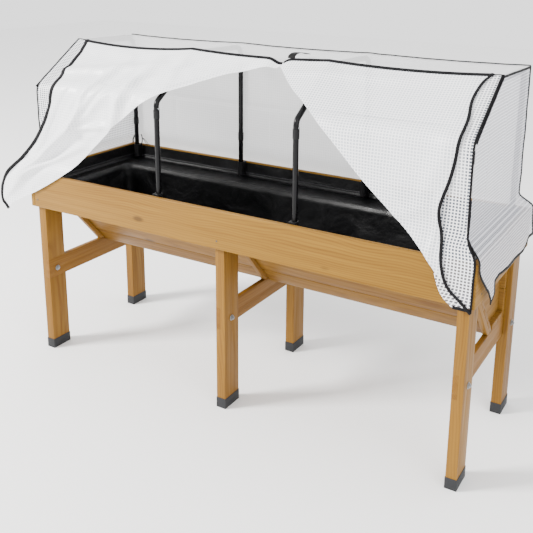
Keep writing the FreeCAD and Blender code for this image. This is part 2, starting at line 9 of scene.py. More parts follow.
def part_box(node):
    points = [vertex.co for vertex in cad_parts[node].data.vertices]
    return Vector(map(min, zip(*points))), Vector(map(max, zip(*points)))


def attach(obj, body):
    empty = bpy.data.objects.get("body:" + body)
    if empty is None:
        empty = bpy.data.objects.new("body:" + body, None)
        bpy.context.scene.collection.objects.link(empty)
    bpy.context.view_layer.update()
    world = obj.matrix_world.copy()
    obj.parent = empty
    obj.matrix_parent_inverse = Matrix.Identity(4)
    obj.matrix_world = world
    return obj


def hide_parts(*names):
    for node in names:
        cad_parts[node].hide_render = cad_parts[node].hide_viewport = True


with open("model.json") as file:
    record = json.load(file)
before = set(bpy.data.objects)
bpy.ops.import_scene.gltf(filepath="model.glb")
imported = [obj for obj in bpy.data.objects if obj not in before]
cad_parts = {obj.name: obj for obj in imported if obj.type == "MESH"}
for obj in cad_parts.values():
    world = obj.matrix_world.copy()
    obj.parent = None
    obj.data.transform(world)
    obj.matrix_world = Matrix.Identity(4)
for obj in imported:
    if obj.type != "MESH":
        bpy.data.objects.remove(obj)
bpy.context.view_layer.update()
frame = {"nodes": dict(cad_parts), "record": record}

# ---------------------------------------------------------------- places read from the frame, in metres
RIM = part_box("rim_board_front")[1].z
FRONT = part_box("rim_board_front")[0].y
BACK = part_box("rim_board_back")[1].y
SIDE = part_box("rim_board_right")[1].x
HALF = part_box("cover_end_right")[0].x
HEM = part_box("flap_right")[0].z
RIDGE_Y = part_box("cover_strip_right")[1].y
BACK_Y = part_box("cover_top")[1].y
TUBE_LOW, TUBE_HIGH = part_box("hoop_front_tube_4")
TUBE = (TUBE_HIGH.x - TUBE_LOW.x) / 2
HOOP_X = (TUBE_HIGH.x + TUBE_LOW.x) / 2
HOOP_IN = sum(corner.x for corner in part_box("hoop_front_tube_3")) / 2
HOOP_Y = -(TUBE_HIGH.y + TUBE_LOW.y) / 2
# a hoop leans back this far above its front tube's top, and levels out this far behind the ridge seam
BEND_RISE = 0.018
CREST_BACK = 0.0045
HOOP_BEND = TUBE_HIGH.z + BEND_RISE
HOOP_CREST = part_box("hoop_arch_4")[1].z - TUBE
CREST_Y = RIDGE_Y + CREST_BACK
HOOPS = (-HOOP_X, -HOOP_IN, HOOP_IN, HOOP_X)

# ---------------------------------------------------------------- sizes of the cloth work
# binding's width and thickness, and both for the heavier tape along a flap's top
TAPE_WIDE = 0.010
TAPE_THICK = 0.0028
TOP_TAPE = (0.013, 0.0045)
THREAD_PITCH = 0.010
# how far the cloths lie outside the hoops' centre line: top and strips, flaps, end panels, back
CLOTH_OFF = 0.0143
FLAP_OFF = 0.0206
END_OFF = 0.0133
BACK_OFF = 0.0148
# how far they stand off the hoop frame's ends, and off the rim boards
END_GAP = 0.0016
RIM_GAP = 0.0033
# the share of a cloth's length over which it turns a corner
CORNER_REACH = 0.035
# the heights where the cloth leaves the hoops, and where it hangs straight again
DROP = RIM + 0.057
TURN = RIM + 0.006


# ---------------------------------------------------------------- small helpers
def clamp(value, low=0.0, high=1.0):
    return max(low, min(high, value))


def ease(value):
    value = clamp(value)
    return value * value * (3.0 - 2.0 * value)


def mix(one, two, share):
    return one + (two - one) * share


def rough(x, y, z, size):
    """Smooth noise from -1 to 1 that changes over about size metres."""
    return noise.noise(Vector((x / size, y / size, z)))


def path(points, reach):
    """A function from a share of a path's length to a spot on it; reach is the share that eases a corner."""
    spots = [Vector(point) for point in points]
    marks = [0.0]
    for one, two in zip(spots, spots[1:]):
        marks.append(marks[-1] + (two - one).length)
    total = marks[-1]

    def exact(share):
        along = clamp(share) * total
        for index in range(len(spots) - 1):
            if along <= marks[index + 1]:
                span = marks[index + 1] - marks[index]
                return spots[index].lerp(spots[index + 1], (along - marks[index]) / span)
        return spots[-1].copy()

    def eased(share):
        near = min(reach, share, 1.0 - share)
        taps = [exact(share + near * step / 3) for step in range(-3, 4)]
        return sum(taps, Vector((0.0,) * len(spots[0]))) / len(taps)

    eased.total = total
    return eased


def through(pairs):
    """A smooth curve through (place, value) pairs, held level past its ends."""

    def at(place):
        if place <= pairs[0][0]:
            return pairs[0][1]
        for index in range(len(pairs) - 1):
            (a, va), (b, vb) = pairs[index], pairs[index + 1]
            if place <= b:
                before = pairs[max(index - 1, 0)]
                after = pairs[min(index + 2, len(pairs) - 1)]
                slope_a = (vb - before[1]) / (b - before[0])
                slope_b = (after[1] - va) / (after[0] - a)
                t = (place - a) / (b - a)
                gap = b - a
                return (
                    (2 * t**3 - 3 * t**2 + 1) * va
                    + (t**3 - 2 * t**2 + t) * gap * slope_a
                    + (3 * t**2 - 2 * t**3) * vb
                    + (t**3 - t**2) * gap * slope_b
                )
        return pairs[-1][1]

    return at


def link(name, data):
    """A new object in the scene, holding a mesh, a lamp or a camera."""
    piece = bpy.data.objects.new(name, data)
    bpy.context.scene.collection.objects.link(piece)
    return piece


def smooth(piece, angle):
    for face in piece.data.polygons:
        face.use_smooth = True
    piece.data.set_sharp_from_angle(angle=angle)
    return piece


def finish_piece(piece, material, body, slot, *nodes):
    piece.data.materials.clear()
    piece.data.materials.append(material)
    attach(piece, body)
    if nodes:
        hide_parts(*nodes)
    return piece


def settle(shape, name, angle, material, body, slot, *nodes):
    """Turns a bmesh into a finished piece, shaded smooth where its faces meet below angle."""
    mesh = bpy.data.meshes.new(name)
    shape.to_mesh(mesh)
    shape.free()
    return finish_piece(smooth(link(name, mesh), angle), material, body, slot, *nodes)


def middle_of(cad_node):
    low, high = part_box(cad_node)
    return (low + high) / 2


def ring(shape, at, across, up, sides):
    """A ring of vertices about a spot; across and up are its half axes."""
    turns = [2 * math.pi * step / sides for step in range(sides)]
    return [shape.verts.new(at + (across * math.cos(turn) + up * math.sin(turn))) for turn in turns]


def wall(shape, rings):
    """Joins rings into a wall, and gives each of its faces with its row and its step round the ring."""
    faces = []
    for row, (one, two) in enumerate(zip(rings, rings[1:])):
        for step in range(len(one)):
            following = (step + 1) % len(one)
            face = shape.faces.new((one[step], one[following], two[following], two[step]))
            faces.append((face, row, step))
    return faces


def close(shape, rings):
    shape.faces.new(rings[0][::-1])
    shape.faces.new(rings[-1])


def lay_grid(faces, layer, places, pitch):
    """UVs in metres for a wall: places says how far along each ring is, pitch how wide a step is."""
    for face, row, step in faces:
        corners = ((row, step), (row, step + 1), (row + 1, step + 1), (row + 1, step))
        for loop, (r, c) in zip(face.loops, corners):
            loop[layer].uv = (places[r], c * pitch)


# ---------------------------------------------------------------- materials
def new_material(name):
    material = bpy.data.materials.new(name)
    material.use_nodes = True
    tree = material.node_tree
    return material, tree, tree.nodes["Principled BSDF"]


def node(tree, kind, inputs=None, **settings):
    """Adds a shader node; an input is either a number or another node's output."""
    made = tree.nodes.new("ShaderNode" + kind)
    for word, setting in settings.items():
        setattr(made, word, setting)
    for socket, value in (inputs or {}).items():
        if isinstance(value, bpy.types.NodeSocket):
            tree.links.new(value, made.inputs[socket])
        else:
            made.inputs[socket].default_value = value
    return made


def math_node(tree, operation, *values):
    return node(tree, "Math", dict(enumerate(values)), operation=operation).outputs[0]


def ramp(tree, factor, stops):
    """A colour ramp with the given (place, colour) stops."""
    made = node(tree, "ValToRGB", {"Fac": factor})
    elements = made.color_ramp.elements
    while len(elements) < len(stops):
        elements.new(0.5)
    for element, (place, colour) in zip(elements, stops):
        element.position = place
        element.color = (*colour, 1.0)
    return made.outputs["Color"]


def bump(tree, shader, height, strength, distance):
    made = node(tree, "Bump", {"Height": height, "Strength": strength, "Distance": distance})
    tree.links.new(made.outputs["Normal"], shader.inputs["Normal"])


def between(tree, value, low, high, to_low=0.0, to_high=1.0):
    numbers = {0: value, 1: low, 2: high, 3: to_low, 4: to_high}
    return node(tree, "MapRange", numbers).outputs[0]


def wood(name, turn, light, dark, seed):
    """Oiled softwood as a solid: rings about a pith beside the board, long streaks and a few knots."""
    material, tree, shader = new_material(name)
    place = node(tree, "TexCoord").outputs["Object"]
    shift = (seed * 1.37, seed * 0.61, seed * 0.83)
    grain = node(tree, "Mapping", {"Vector": place, "Location": shift, "Rotation": turn}).outputs[0]
    long_way = node(tree, "Mapping", {"Vector": grain, "Scale": (0.3, 1.0, 1.0)}).outputs[0]
    fibre_way = node(tree, "Mapping", {"Vector": grain, "Scale": (0.03, 1.0, 1.0)}).outputs[0]

    wander = node(tree, "TexNoise", {"Vector": long_way, "Scale": 5.0, "Detail": 2.0}).outputs["Color"]
    pushed = node(tree, "VectorMath", {0: wander, "Scale": 0.09}, operation="SCALE").outputs[0]
    moved = node(tree, "VectorMath", {0: grain, 1: pushed}, operation="ADD").outputs[0]
    across = node(tree, "VectorMath", {0: moved, 1: (0.0, 1.0, 1.0)}, operation="MULTIPLY").outputs[0]
    from_pith = node(tree, "VectorMath", {0: across}, operation="LENGTH").outputs["Value"]
    waves = math_node(tree, "SINE", math_node(tree, "MULTIPLY", from_pith, 900.0))
    rings = math_node(tree, "POWER", between(tree, waves, -1.0, 1.0), 2.5)

    streaks = node(tree, "TexNoise", {"Vector": fibre_way, "Scale": 70.0, "Detail": 5.0}).outputs["Fac"]
    fibres = node(tree, "TexNoise", {"Vector": fibre_way, "Scale": 420.0, "Detail": 2.0}).outputs["Fac"]
    patches = node(tree, "TexNoise", {"Vector": long_way, "Scale": 3.0, "Detail": 2.0}).outputs["Fac"]
    tone = math_node(tree, "MULTIPLY", rings, 0.16)
    for share, of_tone in ((patches, 0.55), (streaks, 0.50)):
        tone = math_node(tree, "ADD", tone, math_node(tree, "MULTIPLY", share, of_tone))
    middle = tuple(mix(a, b, 0.45) for a, b in zip(light, dark))
    plain = ramp(tree, tone, [(0.34, light), (0.58, middle), (0.86, dark)])

    spread = node(tree, "Mapping", {"Vector": grain, "Scale": (0.42, 1.0, 1.0)}).outputs[0]
    knots = node(tree, "TexVoronoi", {"Vector": spread, "Scale": 6.5}).outputs["Distance"]
    knot = between(tree, knots, 0.085, 0.04)
    knot_colour = tuple(channel * 0.42 for channel in dark)
    mixed = node(tree, "Mix", {"Factor": math_node(tree, "MULTIPLY", knot, 0.75)}, data_type="RGBA")
    tree.links.new(plain, mixed.inputs["A"])
    mixed.inputs["B"].default_value = (*knot_colour, 1.0)
    tree.links.new(mixed.outputs["Result"], shader.inputs["Base Color"])
    tree.links.new(between(tree, streaks, 0.3, 0.7, 0.46, 0.62), shader.inputs["Roughness"])
    height = math_node(tree, "ADD", math_node(tree, "MULTIPLY", fibres, 0.5), streaks)
    bump(tree, shader, height, 0.35, 0.0006)
    shader.inputs["Specular IOR Level"].default_value = 0.2
    return material


def grid_cloth(name, thread_alpha, cell_alpha, thread_colour_and_shade, cell_painted_shade, crumple):
    """White threads laid in squares over clear film, whose cells let the light through; the cells' colour is
    painted shade standing for the shaded inside seen through them.
    """
    material, tree, shader = new_material(name)
    uv = node(tree, "UVMap", uv_map="cloth").outputs["UV"]
    parts = node(tree, "SeparateXYZ", {0: uv})
    cell = None
    for way in (0, 1):
        count = math_node(tree, "DIVIDE", parts.outputs[way], THREAD_PITCH)
        wave = math_node(tree, "PINGPONG", count, 0.5)
        inside = between(tree, wave, 0.13, 0.20)
        cell = inside if cell is None else math_node(tree, "MULTIPLY", cell, inside)
    place = node(tree, "TexCoord").outputs["Object"]
    cloud = node(tree, "TexNoise", {"Vector": place, "Scale": 5.0, "Detail": 3.0}).outputs["Fac"]
    alpha = between(tree, cell, 0.0, 1.0, thread_alpha, cell_alpha)
    tree.links.new(alpha, shader.inputs["Alpha"])
    # painted shade: the cells get a darker colour than the threads, for the shaded inside seen through the
    # film; a grey thread colour is painted shade too
    colour = node(tree, "Mix", {"Factor": cell}, data_type="RGBA")
    colour.inputs["A"].default_value = (*thread_colour_and_shade, 1.0)
    colour.inputs["B"].default_value = (*cell_painted_shade, 1.0)
    tree.links.new(colour.outputs["Result"], shader.inputs["Base Color"])
    creased = {"Vector": place, "Scale": 38.0, "Detail": 3.0, "Roughness": 0.6}
    fine = node(tree, "TexNoise", creased).outputs["Fac"]
    thread = math_node(tree, "SUBTRACT", 1.0, cell)
    height = math_node(tree, "ADD", math_node(tree, "MULTIPLY", fine, crumple * 6.0), thread)
    bump(tree, shader, height, 0.35, 0.0006)
    tree.links.new(between(tree, cloud, 0.3, 0.7, 0.30, 0.46), shader.inputs["Roughness"])
    shader.inputs["Specular IOR Level"].default_value = 0.5
    return material


def woven_tape(name, colour):
    material, tree, shader = new_material(name)
    uv = node(tree, "UVMap", uv_map="cloth").outputs["UV"]
    weave = {"Vector": uv, "Scale": 260.0, "Distortion": 0.6}
    ribs = node(tree, "TexWave", weave, bands_direction="DIAGONAL").outputs["Fac"]
    lighter = tuple(channel * 2.6 for channel in colour)
    tree.links.new(ramp(tree, ribs, [(0.2, colour), (0.9, lighter)]), shader.inputs["Base Color"])
    bump(tree, shader, ribs, 0.5, 0.0005)
    shader.inputs["Roughness"].default_value = 0.6
    shader.inputs["Specular IOR Level"].default_value = 0.12
    return material


def felt(name, colour):
    """Spun black liner cloth: dimpled, with a low painted sheen that makes its colour lighter on its folds.
    """
    material, tree, shader = new_material(name)
    place = node(tree, "TexCoord").outputs["Object"]
    dimples = node(tree, "TexVoronoi", {"Vector": place, "Scale": 420.0}).outputs["Distance"]
    rumpled = {"Vector": place, "Scale": 6.0, "Detail": 3.0, "Distortion": 0.8}
    folds = node(tree, "TexNoise", rumpled).outputs["Fac"]
    # painted sheen: the colour is lighter where the folds noise is high
    lighter = tuple(channel * 1.9 for channel in colour)
    tree.links.new(ramp(tree, folds, [(0.35, colour), (0.75, lighter)]), shader.inputs["Base Color"])
    height = math_node(tree, "ADD", math_node(tree, "MULTIPLY", folds, 22.0), dimples)
    bump(tree, shader, height, 0.6, 0.0010)
    tree.links.new(between(tree, folds, 0.3, 0.7, 0.30, 0.5), shader.inputs["Roughness"])
    shader.inputs["Specular IOR Level"].default_value = 0.35
    return material


def hard(name, colour, roughness, metallic=0.0, depth=0.0003, gloss=0.5):
    """Moulded, coated or plated stuff: a fine grain, and slightly uneven colour and gloss."""
    material, tree, shader = new_material(name)
    place = node(tree, "TexCoord").outputs["Object"]
    fine = node(tree, "TexNoise", {"Vector": place, "Scale": 220.0, "Detail": 3.0}).outputs["Fac"]
    wide = node(tree, "TexNoise", {"Vector": place, "Scale": 14.0, "Detail": 3.0}).outputs["Fac"]
    lighter = tuple(min(1.0, channel * 1.5) for channel in colour)
    tree.links.new(ramp(tree, wide, [(0.3, colour), (0.75, lighter)]), shader.inputs["Base Color"])
    spread = between(tree, wide, 0.3, 0.7, roughness - 0.06, roughness + 0.08)
    tree.links.new(spread, shader.inputs["Roughness"])
    bump(tree, shader, fine, 0.3, depth)
    shader.inputs["Metallic"].default_value = metallic
    shader.inputs["Specular IOR Level"].default_value = gloss
    return material


CLOTH_WHITE = (0.90, 0.90, 0.91)
# one white cloth in five copies with painted shade: every copy's cells are painted darker for the shaded
# inside seen through them, the strip's nearly black, and the end copy and the back copy (also used on the
# top) have greyer threads as painted shade
left_cloth = grid_cloth("left_cloth", 0.97, 0.86, CLOTH_WHITE, (0.78, 0.80, 0.83), 0.25)
right_cloth = grid_cloth("right_cloth", 0.97, 0.72, CLOTH_WHITE, (0.60, 0.63, 0.68), 0.15)
strip_cloth = grid_cloth("strip_cloth", 0.96, 0.52, CLOTH_WHITE, (0.13, 0.15, 0.19), 0.15)
end_cloth = grid_cloth("end_cloth", 0.84, 0.42, (0.72, 0.72, 0.77), (0.42, 0.43, 0.50), 0.15)
back_cloth = grid_cloth("back_cloth", 0.66, 0.62, (0.80, 0.80, 0.81), (0.76, 0.76, 0.77), 0.25)
binding = woven_tape("binding", (0.0015, 0.0015, 0.002))
webbing = woven_tape("webbing", (0.002, 0.002, 0.002))
liner_felt = felt("liner_felt", (0.0018, 0.0018, 0.0022))
liner_edge = hard("liner_edge", (0.010, 0.010, 0.012), 0.5)
coated = hard("coated_tube", (0.0015, 0.0015, 0.002), 0.24, gloss=0.2)
moulded = hard("moulded_black", (0.0025, 0.0025, 0.003), 0.5, gloss=0.25)
foot_rubber = hard("foot_rubber", (0.012, 0.0125, 0.014), 0.62, depth=0.0005, gloss=0.3)
zinc = hard("zinc", (0.24, 0.25, 0.26), 0.34, metallic=1.0)
screw_black = hard("screw_black", (0.07, 0.065, 0.06), 0.45, metallic=0.8)

# how a board's grain is turned, and its light and dark tones
ALONG_X = (0.0, 0.0, 0.0)
ALONG_Y = (0.0, 0.0, math.pi / 2)
ALONG_Z = (0.0, math.pi / 2, 0.0)
ALONG_SLOPE = (math.radians(49.0), 0.0, math.pi / 2)
PALE = ((0.240, 0.123, 0.011), (0.122, 0.051, 0.004))
GOLD = ((0.215, 0.104, 0.011), (0.112, 0.045, 0.004))
RUDDY = ((0.215, 0.100, 0.011), (0.110, 0.043, 0.004))


# ---------------------------------------------------------------- boards with eased edges
def soften(cad_node, material, slot, width):
    """A copy of a CAD solid with its sharp edges rounded over."""
    weld = 0.00002
    flat_angle = 0.03
    sharp_angle = 0.5
    shape = bmesh.new()
    shape.from_mesh(frame["nodes"][cad_node].data)
    bmesh.ops.remove_doubles(shape, verts=shape.verts, dist=weld)
    bmesh.ops.dissolve_limit(shape, angle_limit=flat_angle, verts=shape.verts, edges=shape.edges)
    sharp = [edge for edge in shape.edges if edge.is_manifold and edge.calc_face_angle() > sharp_angle]
    bmesh.ops.bevel(
        shape, geom=sharp, offset=width, segments=3, profile=0.5, affect="EDGES", clamp_overlap=True
    )
    bodies = frame["record"]["behaviour"]["bodies"]
    body = next(name for name, nodes in bodies.items() if cad_node in nodes)
    settle(shape, cad_node + "_eased", 0.45, material, body, slot, cad_node)


def timber(cad_node, grain, tones, cut, slot, width):
    """A board with a figure of its own: cut is a number that says where in the log it was."""
    soften(cad_node, wood(cad_node, grain, *tones, cut), slot, width)


cut = 1
for side in ("left", "centre", "right"):
    for end in ("front", "back"):
        timber("leg_%s_%s" % (end, side), ALONG_Z, GOLD, cut, "leg_wood", 0.0035)
        soften("foot_cap_%s_%s" % (end, side), foot_rubber, "foot_plastic", 0.002)
        cut += 1
    timber("brace_" + side, ALONG_Y, RUDDY, cut, "brace_wood", 0.002)
    timber("rafter_" + side, ALONG_SLOPE, GOLD, cut + 0.5, "brace_wood", 0.0015)
    cut += 1
for planks, count, width in (("slope_plank_%d", 5, 0.0038), ("back_plank_%d", 3, 0.002)):
    for number in range(1, count + 1):
        timber(planks % number, ALONG_X, GOLD, cut, "plank_wood", width)
        cut += 1
for end in ("front", "back"):
    timber("floor_board_" + end, ALONG_X, GOLD, cut, "plank_wood", 0.002)
    timber("rim_board_" + end, ALONG_X, PALE, cut + 0.4, "rim_wood", 0.003)
    cut += 1
for side in ("left", "right"):
    timber("end_panel_" + side, ALONG_Y, GOLD, cut, "plank_wood", 0.0015)
    timber("rim_board_" + side, ALONG_Y, PALE, cut + 0.4, "rim_wood", 0.003)
    cut += 1


# ---------------------------------------------------------------- fixings
# (along the axis, radius) outlines, in metres from the face that each one sits on; a bolt's end starts
# inside its nut
WASHER = ((0.0, 0.0103), (0.0005, 0.0108), (0.0016, 0.0108), (0.0021, 0.0103))
NUT = ((0.0, 0.0074), (0.0005, 0.0080), (0.0046, 0.0080), (0.0051, 0.0070))
BOLT_END = ((0.0051, 0.0039), (0.0078, 0.0039), (0.0084, 0.0032))
BOLT_HEAD = ((0.0, 0.0090), (0.0012, 0.0086), (0.0028, 0.0068), (0.0040, 0.0036), (0.0044, 0.0008))
SCREW_HEAD = ((0.0, 0.0035), (0.0005, 0.0034), (0.0009, 0.0029), (0.0004, 0.0012))


def turned(shape, outline, at, axis, sides):
    """Adds a turned solid to shape, closed at both ends."""
    way = Vector(axis).normalized()
    across = way.orthogonal().normalized()
    up = way.cross(across)
    rings = [ring(shape, at + way * along, across * radius, up * radius, sides) for along, radius in outline]
    wall(shape, rings)
    close(shape, rings)


def bolts():
    """Each through bolt: a washer and a domed head on the left, a washer, a nut and the end on the right."""
    shape = bmesh.new()
    height = middle_of("brace_bolts").z
    leg_low, leg_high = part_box("leg_front_right")
    hairline = 0.0001
    leg_half = (leg_high.x - leg_low.x) / 2 + hairline
    for side in ("left", "centre", "right"):
        for end in ("front", "back"):
            leg = middle_of("leg_%s_%s" % (end, side))
            for sign in (-1.0, 1.0):
                way = (sign, 0, 0)
                face = Vector((leg.x + sign * leg_half, leg.y, height))
                turned(shape, WASHER, face, way, 32)
                base = face + Vector(way) * WASHER[-1][0]
                if sign > 0:
                    turned(shape, NUT, base, way, 6)
                    turned(shape, BOLT_END, base, way, 18)
                else:
                    turned(shape, BOLT_HEAD, base, way, 28)
    settle(shape, "brace_fixings", 0.5, zinc, "planter", "zinc_steel", "brace_bolts")


def screws():
    """Low heads with a dimple for the driver, on the boards' faces beside each leg."""
    shape = bmesh.new()
    height = middle_of("board_screws").z
    spots = []
    for side in ("left", "centre", "right"):
        along = middle_of("leg_front_" + side).x
        spots += [((along, FRONT, height), (0, -1, 0)), ((along, BACK, height), (0, 1, 0))]
    for end in ("front", "back"):
        depth = middle_of("leg_%s_left" % end).y
        spots += [((sign * SIDE, depth, height), (sign, 0, 0)) for sign in (-1, 1)]
    for spot, way in spots:
        turned(shape, SCREW_HEAD, Vector(spot), way, 20)
    settle(shape, "screw_heads", 0.5, screw_black, "planter", "zinc_steel", "board_screws")


bolts()
screws()


# ---------------------------------------------------------------- hoops and sockets keep their CAD shapes
def coat(cad_node, material):
    materials = frame["nodes"][cad_node].data.materials
    materials.clear()
    materials.append(material)


for number in range(1, 5):
    coat("hoop_front_tube_%d" % number, coated)
    coat("hoop_arch_%d" % number, coated)
for cad_node in ("hoop_sleeves", "hoop_sockets_front", "hoop_sockets_back"):
    coat(cad_node, moulded)
coat("hoop_buttons", zinc)


# ---------------------------------------------------------------- liner
def tube_along(name, spots, radius, material, body, slot, squash=1.0):
    """A cord along spots, its section squashed across its own sideways direction."""
    sides = 8
    shape = bmesh.new()
    layer = shape.loops.layers.uv.new("cloth")
    rings = []
    places = []
    along = 0.0
    side = None
    for index, spot in enumerate(spots):
        before = spots[max(index - 1, 0)]
        after = spots[min(index + 1, len(spots) - 1)]
        way = (after - before).normalized()
        if side is None:
            side = way.orthogonal().normalized()
        side = (side - way * side.dot(way)).normalized()
        rings.append(ring(shape, spot, side * squash * radius, way.cross(side) * radius, sides))
        along += (spot - before).length
        places.append(along)
    lay_grid(wall(shape, rings), layer, places, 2 * math.pi * radius / sides)
    close(shape, rings)
    settle(shape, name, 1.0, material, body, slot)


def liner_ring(half_x, y_front, y_back, z, corner, share):
    """A spot on a level rounded rectangle, share of the way round from the middle of the front."""
    wide = half_x - corner
    front, back = y_front + corner, y_back - corner
    deep = back - front
    # each straight's length, start and direction, then the centre and first angle of the corner after it
    sides = (
        (wide, (0, y_front, z), (1, 0, 0), (wide, front, z), -90),
        (deep, (half_x, front, z), (0, 1, 0), (wide, back, z), 0),
        (2 * wide, (wide, y_back, z), (-1, 0, 0), (-wide, back, z), 90),
        (deep, (-half_x, back, z), (0, -1, 0), (-wide, front, z), 180),
    )
    arc = corner * math.pi / 2
    along = share * (sum(length for length, *_ in sides) + wide + 4 * arc)
    for length, start, way, centre, turn in sides:
        if along <= length:
            return Vector(start) + Vector(way) * along
        along -= length
        if along <= arc:
            angle = math.radians(turn) + along / corner
            return Vector(centre) + Vector((math.cos(angle), math.sin(angle), 0)) * corner
        along -= arc
    return Vector((along - wide, y_front, z))


def make_liner():
    """The bag, from the rim down the collar, in over the legs' tops and down the V to its floor."""
    low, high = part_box("liner")
    skin = 0.0026
    off_wood = 0.0034
    half_top = high.x - skin
    half_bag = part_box("end_panel_right")[0].x - off_wood
    top_front = low.y + skin
    top_back = high.y - skin
    bag_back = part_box("back_plank_1")[0].y - off_wood
    leg_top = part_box("leg_back_right")[1].z
    brace_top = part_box("brace_left")[1].z
    floor = low.z + skin
    slope_foot = 0.060
    slope_lean = 0.857

    def front_at(z):
        """The sloping planks' inner face, slope_foot back from the middle where it meets the braces' tops."""
        return slope_foot - (z - brace_top) * slope_lean

    # half length, front, back, height and corner radius, from the rim down
    levels = [
        (half_top, top_front, top_back, high.z, 0.004),
        (half_top - 0.0005, top_front + 0.0005, top_back - 0.0005, high.z - 0.018, 0.008),
        (half_top - 0.001, top_front + 0.001, top_back - 0.001, high.z - 0.045, 0.012),
        (half_top - 0.003, top_front + 0.003, top_back - 0.003, leg_top + 0.008, 0.016),
        (half_top - 0.010, top_front + 0.010, top_back - 0.012, leg_top + 0.0035, 0.02),
        (half_bag + 0.004, front_at(leg_top) - 0.004, bag_back + 0.004, leg_top + 0.0032, 0.03),
        (half_bag - 0.004, front_at(leg_top - 0.012) + 0.006, bag_back - 0.004, leg_top - 0.012, 0.035),
        (half_bag - 0.003, front_at(leg_top - 0.10) + 0.005, bag_back - 0.003, leg_top - 0.10, 0.035),
        (half_bag - 0.003, front_at(floor + 0.10) + 0.005, bag_back - 0.003, floor + 0.10, 0.035),
        (half_bag - 0.004, front_at(floor + 0.02) + 0.006, bag_back - 0.004, floor + 0.02, 0.03),
        (half_bag - 0.02, front_at(floor) + 0.02, bag_back - 0.02, floor + 0.001, 0.025),
    ]
    section = path(levels, 0.004)
    around = 420
    down = 64
    fold_reach = 0.16
    fold_high = 0.012
    wave_high = 0.006
    shape = bmesh.new()
    rings = []
    for row in range(down + 1):
        half_x, y_front, y_back, z, corner = section(row / down)
        # stretched at the rim, and loose from below the collar down
        loose = mix(0.15, 1.0, clamp((high.z - 0.05 - z) / 0.12))
        level = []
        for step in range(around):
            spot = liner_ring(half_x, y_front, y_back, z, corner, step / around)
            centre = Vector((clamp(spot.x, -half_x + 0.2, half_x - 0.2), (y_front + y_back) / 2, z))
            to_corner = min(
                math.hypot(spot.x - sign * half_x, spot.y - y) for sign in (-1, 1) for y in (y_front, y_back)
            )
            near = math.exp(-((to_corner / fold_reach) ** 2))
            folds = max(0.0, rough(spot.x + spot.y * 1.7, z * 0.25, 3.0, 0.05)) * fold_high * near
            waves = (0.5 + 0.5 * rough(spot.x + spot.y, z * 0.6, 8.0, 0.16)) * wave_high
            level.append(shape.verts.new(spot + (centre - spot).normalized() * (folds + waves) * loose))
        rings.append(level)
    wall(shape, rings)
    shape.faces.new(rings[-1])
    bag = settle(shape, "liner_bag", 1.2, liner_felt, "planter", "liner_fabric", "liner")

    welt = []
    welt_in = 0.004
    for step in range(around + 1):
        share = (step % around) / around
        spot = liner_ring(
            half_top - welt_in, top_front + welt_in, top_back - welt_in, high.z - 0.041, 0.012, share
        )
        spot.z += 0.0012 * rough(spot.x, spot.y, 5.0, 0.12)
        welt.append(spot)
    tube_along("liner_welt", welt, 0.0022, liner_edge, "planter", "liner_fabric")


make_liner()


# ---------------------------------------------------------------- the cloth cover
def surface(name, spot, across, down, flat, material, body, *nodes):
    """A cloth from spot(u, v), across by down faces, its threads laid out by flat(u, v) in metres."""
    shape = bmesh.new()
    layer = shape.loops.layers.uv.new("cloth")
    grid = []
    for row in range(down + 1):
        grid.append([shape.verts.new(spot(column / across, row / down)) for column in range(across + 1)])
    for row in range(down):
        for column in range(across):
            corners = ((row, column), (row, column + 1), (row + 1, column + 1), (row + 1, column))
            face = shape.faces.new([grid[r][c] for r, c in corners])
            for loop, (r, c) in zip(face.loops, corners):
                loop[layer].uv = flat(c / across, r / down)
    return settle(shape, name, 1.5, material, body, "cover_cloth", *nodes)


def tape(name, edge, inner, count, body, wide=TAPE_WIDE, thick=TAPE_THICK, material=binding):
    """Binding folded over a cloth's edge: edge(t) runs along it and inner(t) lies on the cloth beside it."""
    sides = 12
    squareness = 0.6
    proud = 0.1
    shape = bmesh.new()
    layer = shape.loops.layers.uv.new("cloth")
    rings = []
    places = []
    along = 0.0
    last = edge(0.0)
    for index in range(count + 1):
        t = index / count
        spot = edge(t)
        way = (edge(min(t + 0.5 / count, 1.0)) - edge(max(t - 0.5 / count, 0.0))).normalized()
        inward = inner(t) - spot
        inward = (inward - way * inward.dot(way)).normalized()
        out = way.cross(inward)
        section = []
        for step in range(sides):
            angle = 2 * math.pi * step / sides
            c, s = math.cos(angle), math.sin(angle)
            over = wide * (0.5 - proud + 0.5 * math.copysign(abs(c) ** squareness, c))
            rise = thick * 0.5 * math.copysign(abs(s) ** squareness, s)
            section.append(shape.verts.new(spot + inward * over + out * rise))
        rings.append(section)
        along += (spot - last).length
        places.append(along)
        last = spot
    lay_grid(wall(shape, rings), layer, places, wide / sides)
    close(shape, rings)
    return settle(shape, name, 1.0, material, body, "webbing")


def down_at(spot, u):
    """The line down a cloth at u."""
    return lambda t: spot(u, t)


def across_at(spot, v):
    """The line across a cloth at v."""
    return lambda t: spot(t, v)


SLOPE = (HOOP_CREST - HOOP_BEND) / (CREST_Y + HOOP_Y)
SLOPE_LONG = math.hypot(1.0, SLOPE)


def front_path(off, clear):
    """The front cloth's line, ridge to hem: off outside the hoops, then clear away from the rim board."""
    y_out = -HOOP_Y - off
    return path(
        [
            (RIDGE_Y, HOOP_BEND + off * SLOPE_LONG + (RIDGE_Y + HOOP_Y) * SLOPE),
            (y_out, HOOP_BEND + off * SLOPE_LONG + (y_out + HOOP_Y) * SLOPE),
            (y_out, DROP),
            (FRONT - clear, TURN),
            (FRONT - clear, HEM),
        ],
        CORNER_REACH,
    )


flap_line = front_path(FLAP_OFF, 0.0078)
strip_line = front_path(CLOTH_OFF, RIM_GAP)
FLAP_LONG = flap_line.total
# the right flap and its strip end a little above the hem
RIGHT_SHORT = 0.975


